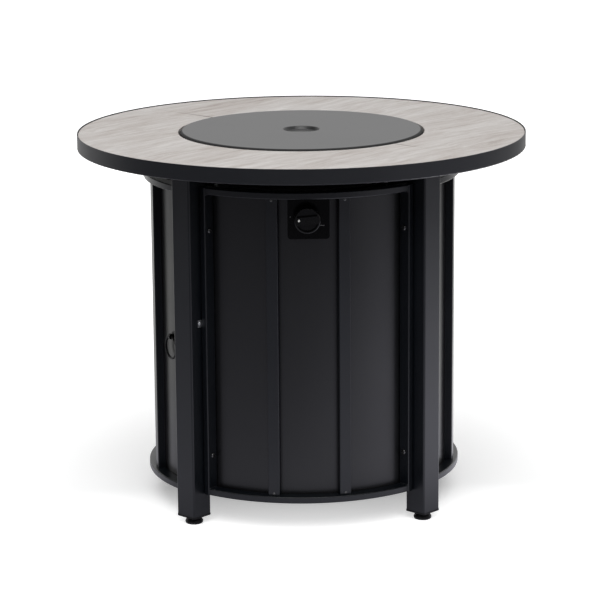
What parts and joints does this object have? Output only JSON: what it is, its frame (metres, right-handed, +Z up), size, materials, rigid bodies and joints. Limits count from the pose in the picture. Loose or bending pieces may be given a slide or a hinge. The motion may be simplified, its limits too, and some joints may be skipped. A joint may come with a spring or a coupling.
{
  "type": "gas fire pit table",
  "caption": "Round gas fire pit table: wood-look top with a lift-off burner lid, on square legs round a barrel of slatted steel panels; one panel is the gas tank door.",
  "frame": {"origin": "on the floor under the middle of the round top", "axes": "+Z up; the control knob is on the -Y side; the gas tank door is on the -X side"},
  "size_m": [0.762, 0.762, 0.635],
  "materials": {
    "black_steel": "fine powder coat, low sheen",
    "sheet_steel": "fine powder coat, low sheen",
    "rim_steel": "fine powder coat, low sheen",
    "lid_steel": "matte gray powder coat",
    "wood_look_tile": "matte printed wood grain",
    "burner_steel": "brushed stainless",
    "zinc_steel": "zinc plated",
    "screw_steel": "black oxide",
    "rivet_steel": "bright",
    "brass": "machined",
    "white_ceramic": "glazed white",
    "gloss_black": "glossy",
    "knob_plastic": "satin moulded",
    "foot_plastic": "matte moulded"
  },
  "bodies": {
    "table": {"air_mixer": "burner_steel", "burner_pan": "burner_steel", "burner_ring": "burner_steel", "catch_backing_plate": "zinc_steel", "catch_bolt": "zinc_steel", "catch_housing": "knob_plastic", "catch_strap": "zinc_steel", "control_plate": "gloss_black", "flame_bracket": "burner_steel", "flame_probe": "burner_steel", "frame_screws": "screw_steel", "front_panel_frame": "black_steel", "front_panel_sheet": "sheet_steel", "front_panel_slats": "black_steel", "gas_injector": "brass", "gas_pipe": "brass", "gas_valve": "brass", "heat_shield": "zinc_steel", "hinge_leg_leaves": "black_steel", "hinge_pins": "black_steel", "leg_bolts": "zinc_steel", "leg_end_caps": "foot_plastic", "leg_front_left": "black_steel", "leg_front_right": "black_steel", "leg_rear_left": "black_steel", "leg_rear_right": "black_steel", "panel_slat_rivets": "rivet_steel", "rear_panel_frame": "black_steel", "rear_panel_sheet": "sheet_steel", "rear_panel_slats": "black_steel", "right_panel_frame": "black_steel", "right_panel_sheet": "sheet_steel", "right_panel_slats": "black_steel", "spark_electrode": "white_ceramic", "tank_shelf": "black_steel", "top_board_front": "wood_look_tile", "top_board_left": "wood_look_tile", "top_board_rear": "wood_look_tile", "top_board_right": "wood_look_tile", "top_deck": "black_steel", "top_rim": "rim_steel", "top_support_ring": "black_steel", "valve_lock_nut": "brass", "valve_spring": "zinc_steel"},
    "lid": {"lid": "lid_steel"},
    "door": {"door_panel_frame": "black_steel", "door_panel_sheet": "sheet_steel", "door_panel_slats": "black_steel", "door_slat_rivets": "rivet_steel", "hinge_door_leaves": "black_steel", "catch_strike": "zinc_steel", "door_pull_bracket": "black_steel"},
    "pull": {"door_pull_ring": "black_steel"},
    "push_collar": {"push_washer": "zinc_steel"},
    "knob": {"control_knob": "knob_plastic", "valve_stem": "brass"},
    "foot_front_left": {"foot_front_left": "foot_plastic"},
    "foot_front_right": {"foot_front_right": "foot_plastic"},
    "foot_rear_right": {"foot_rear_right": "foot_plastic"},
    "foot_rear_left": {"foot_rear_left": "foot_plastic"}
  },
  "joints": [
    {"name": "lid_lift", "type": "slide", "parent": "table", "child": "lid", "axis": [0, 0, 1], "range_m": [0, 0.15]},
    {"name": "door_hinge", "type": "hinge", "parent": "table", "child": "door", "pos_m": [-0.21034, 0.1757, 0.3139], "axis": [0, 0, -1], "range_deg": [0, 105]},
    {"name": "pull_swing", "type": "hinge", "parent": "door", "child": "pull", "pos_m": [-0.22687, -0.1186, 0.304], "axis": [-0.4633, 0.8862, 0], "range_deg": [-5, 95]},
    {"name": "knob_push", "type": "slide", "parent": "table", "child": "push_collar", "axis": [0, 1, 0], "range_m": [0, 0.0045], "stiffness_N_per_m": 1500, "springref_m": -0.002, "deforming": ["valve_spring"]},
    {"name": "knob_turn", "type": "hinge", "parent": "push_collar", "child": "knob", "pos_m": [-0.002, -0.25, 0.5315], "axis": [0, -1, 0], "range_deg": [0, 180]},
    {"name": "foot_front_left_height", "type": "slide", "parent": "table", "child": "foot_front_left", "axis": [0, 0, -1], "range_m": [0, 0.012]},
    {"name": "foot_front_right_height", "type": "slide", "parent": "table", "child": "foot_front_right", "axis": [0, 0, -1], "range_m": [0, 0.012]},
    {"name": "foot_rear_right_height", "type": "slide", "parent": "table", "child": "foot_rear_right", "axis": [0, 0, -1], "range_m": [0, 0.012]},
    {"name": "foot_rear_left_height", "type": "slide", "parent": "table", "child": "foot_rear_left", "axis": [0, 0, -1], "range_m": [0, 0.012]}
  ]
}
